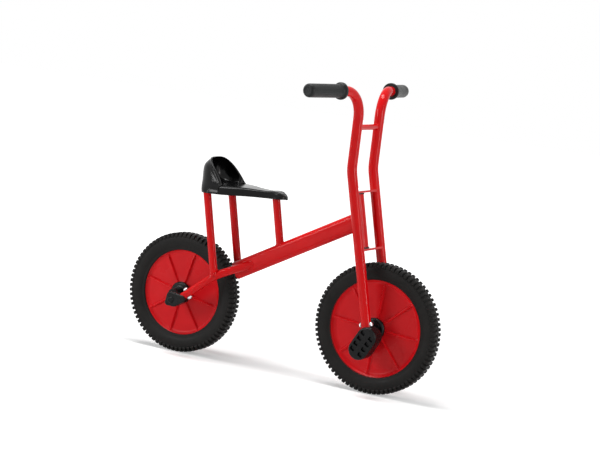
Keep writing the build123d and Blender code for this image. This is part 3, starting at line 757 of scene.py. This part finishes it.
def both_sides(name, grids, body, slot, node, smooth=40.0):
    """A right-hand piece and its mirror image; each replaces the engineering solid of its side."""
    skin(name + "_right", grids, body, slot, [node + "_right"], smooth)
    flipped = [(mirrored(grid), rows, columns) for grid, rows, columns in grids]
    skin(name + "_left", flipped, body, slot, [node + "_left"], smooth)


# %% Sizes and points of the frame and the fork, in millimetres
RAKE, POST_LEAN = math.radians(13.7), math.radians(12.8)
STEER = np.array([-math.sin(RAKE), 0, math.cos(RAKE)])
AHEAD = np.array([math.cos(RAKE), 0, math.sin(RAKE)])
POST_WAY = np.array([-math.sin(POST_LEAN), 0, math.cos(POST_LEAN)])
REAR, FRONT = (np.array([wheel["x"], 0, wheel["tyre"]]) for wheel in WHEELS.values())
FORK_R, STAY_R, POST_R, CROSSBAR_R = 12.5, 10.0, 10.0, 7.0
FORK_AHEAD, FORK_HALF, LEG_FOOT, LEG_LENGTH = 22.0, 62.5, 7.5, 393.0
RISER, BAR_OUT, BAR_SWEEP, BAR_DROP = 192.0, 211.5, math.radians(10.2), math.radians(1.0)
LEG_BEND, BAR_BEND, STAY_BEND, CROSSBAR_UP = 110.0, 63.0, 60.0, 104.0
REAR_HALF, STAY_REACH, POST_TOP_Z = 65.0, 217.0, 435.0
HEAD_UP, BEAM_CORNER, BEAM_FLAT = 266.5, 12.5, 10.0     # the beam's half circles and half flats
head_middle = FRONT - AHEAD * FORK_AHEAD + STEER * HEAD_UP
BEAM_WAY = (head_middle - REAR) / np.linalg.norm(head_middle - REAR)
BEAM_UP = np.cross(BEAM_WAY, (0, 1, 0))
leg_foot = FRONT + STEER * LEG_FOOT + [0, -FORK_HALF, 0]
leg_knee = FRONT + STEER * LEG_LENGTH + [0, -FORK_HALF, 0]
bar_corner = leg_knee + [0, 0, RISER]
bar_end = bar_corner + np.array([-BAR_OUT * math.tan(BAR_SWEEP), -BAR_OUT, -BAR_OUT * math.tan(BAR_DROP)])
stay_end = REAR + [30.0, -REAR_HALF, -4.0]
stay_knee = REAR + [120.0, -REAR_HALF, 70.0]
stay_nose = REAR + BEAM_WAY * STAY_REACH + [0, -4.0, 0]
rear_foot = stay_end + (stay_knee - stay_end) * 86.0 / 90.0     # where a rear post stands on its stay
front_foot = REAR + BEAM_WAY * 262.0 / BEAM_WAY[0]      # and the front post inside the beam
print("the handlebar's end is", np.round(bar_end, 1))


# %% Fork tubes, stays, posts and crossbar
def post_top(foot):
    """A post's upper end, inside the seat: up along the post to the height of its top."""
    return foot + POST_WAY * (POST_TOP_Z - foot[2]) / POST_WAY[2]


def tube(points, bends, radius):
    """The closed tube along a line of points with the given bend radii, in the form that skin takes."""
    return closed(capped(turned(*rounded_path(points, bends), radius)))


fork_tube = tube([leg_foot, leg_knee, bar_corner, bar_end], [LEG_BEND, BAR_BEND], FORK_R)
both_sides("bent_fork_tube", fork_tube, "steering", "red_steel", "fork_tube")
stay = tube([stay_end, stay_knee, stay_nose], [STAY_BEND], STAY_R)
both_sides("bent_stay", stay, "frame", "red_steel", "stay")
for node, foot in (("seat_post_rear_right", rear_foot), ("seat_post_rear_left", mirrored(rear_foot)),
                   ("seat_post_front", front_foot)):
    skin(node + "_tube", tube([foot, post_top(foot)], [], POST_R), "frame", "red_steel", [node])
crossbar_middle = np.array([leg_knee[0], 0, leg_knee[2] + CROSSBAR_UP])
half_bar = np.array([0, FORK_HALF, 0])
crossbar = tube([crossbar_middle - half_bar, crossbar_middle + half_bar], [], CROSSBAR_R)
skin("crossbar_tube", crossbar, "steering", "red_steel", ["crossbar"])

# %% [markdown]
# ## The main beam
#
# The beam is a flat-sided tube. Its section is a slot: two half circles with straight flanks
# between them. It runs straight from just ahead of the rear tyre to the head tube, so the
# slot is moved along one line, and its first rows shrink a little to soften the cut end.

# %% The main beam
BEAM_GAP = 8.0                                  # from the rear tyre to the beam's end, and to the head


def beam_grid():
    """Rows of the slot, 45 mm high and 25 mm wide: a circle whose halves are moved up and down."""
    swing = round_angles(64)
    across_by = BEAM_CORNER * np.sin(swing)
    up_by = BEAM_CORNER * np.cos(swing) + BEAM_FLAT * np.sign(np.cos(swing) + 1e-9)
    near = WHEELS["rear"]["tyre"] + BEAM_GAP
    far = np.linalg.norm(head_middle - REAR) - BEAM_GAP
    stops = np.array([near, near + 0.4, near + 1.2, *np.linspace(near + 3, far, 12)])
    share = np.array([0.90, 0.97, 1.0, *np.ones(12)])
    section = across_by[:, None] * np.array([0, 1, 0]) + up_by[:, None] * BEAM_UP
    return (REAR + stops[:, None] * BEAM_WAY)[:, None] + share[:, None, None] * section


skin("beam_tube", closed(capped(beam_grid())), "frame", "red_steel", ["main_beam"])

# %% [markdown]
# ## Weld beads
#
# Where a tube meets another piece, the welder leaves a small rounded bead. Its middle line is
# where the tube's wall enters the other piece, found by walking outwards along every line of
# the wall until it leaves the other piece. A thin ring with a slight ripple follows it.

# %% Weld beads along the seams
def from_tube(axis_point, way, radius):
    """How far points lie outside a round tube: their distance to its axis less its radius."""
    def outside(points):
        away = points - axis_point
        away = away - way * (away @ way)[..., None]
        return np.linalg.norm(away, axis=-1) - radius
    return outside


def from_beam(points):
    """How far points lie outside the beam's slot outline."""
    away = points - REAR
    return np.hypot(away[..., 1], np.clip(np.abs(away @ BEAM_UP) - BEAM_FLAT, 0, None)) - BEAM_CORNER


def weld(name, start, way, radius, outside, body, thick=1.9, reach=90.0):
    """A closed ring of weld metal round a tube that starts inside another piece and leaves it along way.

    The ring's own radius is thick (1 + 0.13 sin 24 a), which gives the ripple.
    """
    way = way / np.linalg.norm(way)
    spoke = np.cross(way, (0, 1, 0) if abs(way[1]) < 0.9 else (1, 0, 0))
    spoke /= np.linalg.norm(spoke)
    angle = round_angles(96)[:, None]
    out = np.cos(angle) * spoke + np.sin(angle) * np.cross(way, spoke)
    along = np.linspace(0, reach, 1800)
    lines = (start + radius * out)[:, None] + along[None, :, None] * way
    seam = start + radius * out + along[np.argmax(outside(lines) > 0, axis=1)][:, None] * way
    run = np.roll(seam, -1, 0) - np.roll(seam, 1, 0)
    run /= np.linalg.norm(run, axis=1)[:, None]
    aside = np.cross(run, out)
    swing = round_angles(10)[None, :, None]
    size = thick * (1 + 0.13 * np.sin(24 * angle))
    ring = seam[:, None] + size[:, None] * (np.cos(swing) * out[:, None] + np.sin(swing) * aside[:, None])
    skin(name, [(ring, True, True)], body, "red_steel")


stay_way = stay_knee - stay_end
stay_way = stay_way / np.linalg.norm(stay_way)
nose_way = stay_knee - stay_nose
for side, name in ((1, "right"), (-1, "left")):
    flip = np.array([1.0, side, 1.0])
    weld("post_weld_" + name, rear_foot * flip, POST_WAY, POST_R,
         from_tube(stay_end * flip, stay_way * flip, STAY_R), "frame")
    weld("nose_weld_" + name, stay_nose * flip, nose_way * flip, STAY_R, from_beam, "frame")
    bar_foot = crossbar_middle - half_bar * side
    weld("crossbar_weld_" + name, bar_foot, np.array([0, 1.0 * side, 0]), CROSSBAR_R,
         from_tube(bar_foot, np.array([0, 0, 1.0]), FORK_R), "steering", 1.6)
weld("front_post_weld", front_foot, POST_WAY, POST_R, from_beam, "frame")

# %% [markdown]
# ## Grips, bolts and other turned pieces
#
# A turned piece is a line of radii carried round an axis. The grips get shallow lengthwise
# flutes and the dished end of a moulded rubber grip. The cross bolts get domed heads.

# %% Grips
def grip_grid():
    """The grip along the bar: a radius over the length, less flutes of 0.22 (1 - cos 30 a)."""
    way = (bar_end - bar_corner) / np.linalg.norm(bar_end - bar_corner)
    along = [-133, -133, -131.5, -130, -126, -125, -124, -122.5, -120, *np.linspace(-116, -8, 12),
             -4, -1.2, 0.8, 2.4, 3.8, 4.6, 4.9, 4.8, 4.2, 3.9, 3.9, 3.9]
    radius = [0.01, 19.4, 20.8, 21, 21, 20.6, 19.2, 17.4, 16.7, *([16.5] * 12),
              16.5, 16.3, 15.8, 14.9, 13.6, 12.0, 10.6, 9.2, 8.2, 7.0, 4.0, 0.01]
    held = np.interp(along, [-118, -112, -14, -8], [0, 1, 1, 0])
    angle = round_angles(240)
    spoke = np.cross(way, (0, 0, 1.0))
    spoke /= np.linalg.norm(spoke)
    out = np.cos(angle)[:, None] * spoke + np.sin(angle)[:, None] * np.cross(way, spoke)
    r = np.array(radius)[:, None] - 0.22 * held[:, None] * (1 - np.cos(30 * angle))[None]
    return bar_end + np.array(along)[:, None, None] * way + r[..., None] * out[None]


both_sides("fluted_grip", closed(grip_grid()), "steering", "grip_rubber", "grip")


# %% Cross bolts with domed heads
def bolt_grid(middle, way, reach):
    """A shank and two domes: radius 7 cos(t), height 5.6 sin(t) over the tube's wall."""
    t = np.linspace(np.pi / 2, 0, 9)
    dome_r, dome_s = 7.0 * np.cos(t) + 0.001, reach + 0.4 + 5.6 * np.sin(t)
    s = np.concatenate([-dome_s, [-reach, -reach, reach, reach], dome_s[::-1]])
    r = np.concatenate([dome_r, [7.0, 3.0, 3.0, 7.0], dome_r[::-1]])
    return turned(middle + s[:, None] * way, np.tile(way, (len(s), 1)), r, 32)


fork_bolt = bolt_grid(leg_foot + STEER * LEG_FOOT, AHEAD, FORK_R + 0.1)
both_sides("domed_fork_bolt", closed(fork_bolt), "steering", "zinc_steel", "fork_bolt")
stay_bolt = bolt_grid(stay_end + stay_way * 22.0, np.cross((0, 1.0, 0), stay_way), STAY_R + 0.1)
both_sides("domed_stay_bolt", closed(stay_bolt), "frame", "zinc_steel", "stay_bolt")

# %% [markdown]
# ## Foot rests and rear blocks
#
# Both are thick plates with a rounded outline. The outline is the hull of a few circles, taken
# from their support function. Rows of points run from the middle of the inner face, round the
# softened edges, to the middle of the outer face, where a relief can be pressed in.

# %% Thick plates with rounded edges
def hull_outline(circles, count):
    """Points and outward normals spaced evenly along the hull of circles (x, z, r).

    For each direction n the hull's point is c + r n of the circle with the largest c.n + r.
    """
    angle = np.linspace(0, TURN, 2001)
    n = np.stack([np.cos(angle), np.sin(angle)], -1)
    circles = np.asarray(circles, float)
    best = np.argmax(n @ circles[:, :2].T + circles[:, 2], axis=1)
    p = circles[best, :2] + circles[best, 2:] * n
    run = np.concatenate([[0], np.cumsum(np.linalg.norm(np.diff(p, axis=0), axis=1))])
    at = np.linspace(0, run[-1], count + 1)[:-1]
    return (np.stack([np.interp(at, run, p[:, k]) for k in (0, 1)], -1),
            np.stack([np.interp(at, run, n[:, k]) for k in (0, 1)], -1))


def thick_plate(circles, inner, outer, edge, fill=12, count=120, relief=None):
    """Rows over a plate between the side offsets inner and outer, with edges rounded by the radius edge.

    relief(x, z) is the depth that is pressed into the outer face.
    """
    p, n = hull_outline(circles, count)
    middle = p.mean(0)
    sign = 1 if outer > inner else -1
    rows = []

    def row(drawn, share, y):
        q = middle + (p - n * drawn - middle) * share
        rows.append(np.stack([q[:, 0], y + 0 * q[:, 0], q[:, 1]], -1))
    for share in (0.001, 0.5):
        row(edge, share, inner)
    for t in np.linspace(0, np.pi / 2, 6):
        row(edge * (1 - math.sin(t)), 1, inner + sign * edge * (1 - math.cos(t)))
    for t in np.linspace(0, np.pi / 2, 6):
        row(edge * (1 - math.cos(t)), 1, outer - sign * edge * (1 - math.sin(t)))
    for share in np.linspace(1, 0, fill + 1)[1:]:
        row(edge, max(share, 0.001), outer)
    grid = np.stack(rows)
    if relief is not None:
        face = grid[-fill - 1:]
        face[..., 1] -= sign * relief(face[..., 0], face[..., 2])
    return grid


print("a plate has", len(thick_plate([(0, 0, 1)], 0, 1, 0.2)), "rows of points")

# %% Foot rests and rear blocks
TILT = math.radians(61.6)
REST_X, REST_Z = 550.0, 133.0
POCKET_PITCH, POCKET_HALF, POCKET_HALF_W, POCKET_DEPTH = 16.0, 4.7, 6.3, 6.5


def pockets(x, z):
    """Depth of eight pockets, two columns of four, along the rest's tilted middle line.

    A pocket's depth eases from 0 to full as 3 s^2 - 2 s^3 over its sloping wall, 0.9 mm wide.
    """
    along = (x - REST_X) * math.cos(TILT) + (z - REST_Z) * math.sin(TILT)
    beside = -(x - REST_X) * math.sin(TILT) + (z - REST_Z) * math.cos(TILT)
    cell = np.abs((along + 2 * POCKET_PITCH) % POCKET_PITCH - POCKET_PITCH / 2)
    wide = np.abs(np.abs(beside) - 12.5)
    inside = np.clip((POCKET_HALF - cell) / 0.9, 0, 1) * np.clip((POCKET_HALF_W - wide) / 0.9, 0, 1)
    inside = inside * (np.abs(along) < 2 * POCKET_PITCH - 1)
    return POCKET_DEPTH * inside * inside * (3 - 2 * inside)


def turned_outwards(centre, offsets, radii, columns):
    """Circles of given radii at given distances to the right of a centre."""
    out = np.array([0, -1.0, 0])
    return turned(centre + np.array(offsets)[:, None] * out, np.tile(out, (len(offsets), 1)), radii, columns)


def boss(centre, inner, outer):
    """A round boss about a wheel's axle, between two distances from the middle plane."""
    offsets = [inner, inner, inner + 0.8, outer, outer]
    return turned_outwards(centre, offsets, [0.01, 12.2, 13.0, 13.0, 0.01], 48)


lean = np.array([math.cos(TILT), math.sin(TILT)]) * 18.5
rest_circles = [(REST_X + lean[0], REST_Z + lean[1], 25.5), (REST_X - lean[0], REST_Z - lean[1], 25.5)]
rest = thick_plate(rest_circles, -40.5, -84.5, 4.5, fill=44, count=260, relief=pockets)
both_sides("pocketed_foot_rest", closed(rest, boss(FRONT, 26.5, 50.0)), "steering", "black_plastic",
           "foot_rest", smooth=55)
block_circles = [(3, 152, 11.0), (-3.5, 134.0, 8.0), (14, 133.5, 8.0), (36, 149, 10.0)]
block = thick_plate(block_circles, -53.0, -77.0, 3.0)
cap_y = [74.0, 74.0, 77.2, 79.6, 80.6, 81.0, 81.0, 80.2, 80.2]
cap_r = [0.01, 8.6, 8.6, 7.6, 6.0, 4.6, 3.6, 3.2, 0.01]
cap = turned_outwards(np.array([5.5, 0, 142.5]), cap_y, cap_r, 40)
both_sides("rounded_axle_block", closed(block, cap, boss(REAR, 26.5, 60.0)), "frame", "black_plastic",
           "rear_axle_block", smooth=50)
